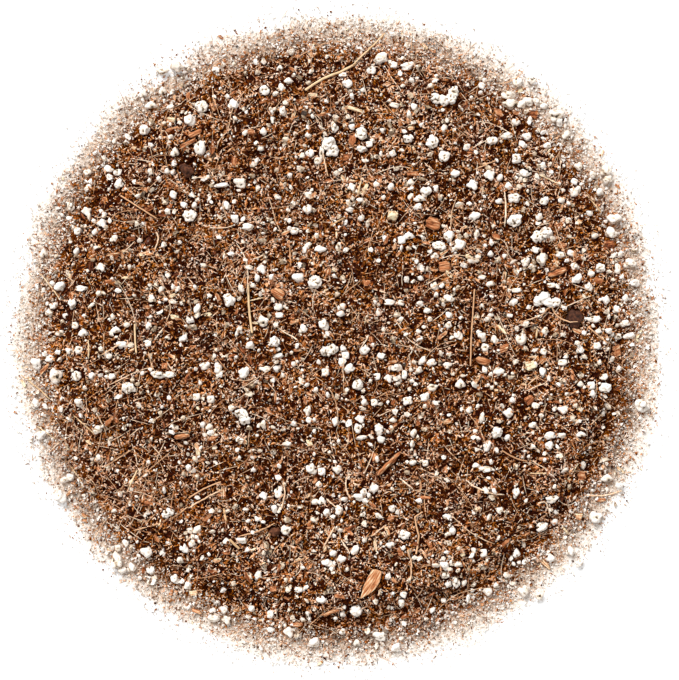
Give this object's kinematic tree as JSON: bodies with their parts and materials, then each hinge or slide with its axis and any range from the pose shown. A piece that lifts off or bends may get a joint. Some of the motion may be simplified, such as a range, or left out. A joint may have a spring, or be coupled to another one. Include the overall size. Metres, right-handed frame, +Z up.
{
  "type": "potting compost",
  "caption": "Round, shallow bed of loose potting compost: brown peat and coir crumbs with white perlite, bark chips, straws and root fibres.",
  "frame": {"origin": "centre of the flat underside, on the surface that the compost lies on", "axes": "+Z up out of the compost, +Y towards the top of the view from above, +X to its right"},
  "size_m": [0.1914, 0.192, 0.011],
  "materials": {
    "mix": "matte",
    "clod": "matte",
    "perlite": "matte",
    "bark": "matte",
    "pale_bark": "matte",
    "cream": "matte",
    "straw": "satin",
    "root": "matte"
  },
  "bodies": {
    "root": {"mix_bed": "mix", "perlite_01": "perlite", "perlite_02": "perlite", "perlite_03": "perlite", "perlite_04": "perlite", "perlite_05": "perlite", "perlite_06": "perlite", "perlite_07": "perlite", "perlite_08": "perlite", "perlite_09": "perlite", "perlite_10": "perlite", "perlite_11": "perlite", "perlite_12": "perlite", "perlite_13": "perlite", "perlite_14": "perlite", "perlite_15": "perlite", "perlite_16": "perlite", "perlite_17": "perlite", "perlite_18": "perlite", "perlite_19": "perlite", "perlite_20": "perlite", "perlite_21": "perlite", "perlite_22": "perlite", "perlite_23": "perlite", "perlite_24": "perlite", "perlite_25": "perlite", "perlite_26": "perlite", "perlite_27": "perlite", "perlite_28": "perlite", "perlite_29": "perlite", "perlite_30": "perlite", "perlite_cluster_1": "perlite", "perlite_cluster_2": "perlite", "perlite_cluster_3": "perlite", "perlite_cluster_4": "perlite", "perlite_cluster_5": "perlite", "perlite_cluster_6": "perlite", "peat_clod_1": "clod", "peat_clod_2": "clod", "peat_clod_3": "clod", "bark_chip_1": "bark", "bark_chip_2": "bark", "bark_chip_3": "bark", "bark_chip_4": "bark", "bark_chip_5": "bark", "bark_chip_6": "bark", "bark_chip_7": "bark", "bark_chip_8": "bark", "bark_chip_9": "bark", "bark_flake": "pale_bark", "cream_flake": "cream", "grass_stem": "straw", "straw_1": "straw", "straw_2": "straw", "straw_3": "straw", "root_fibre_1": "root", "root_fibre_2": "root", "root_fibre_3": "root", "root_fibre_4": "root", "root_fibre_5": "root"}
  },
  "joints": []
}
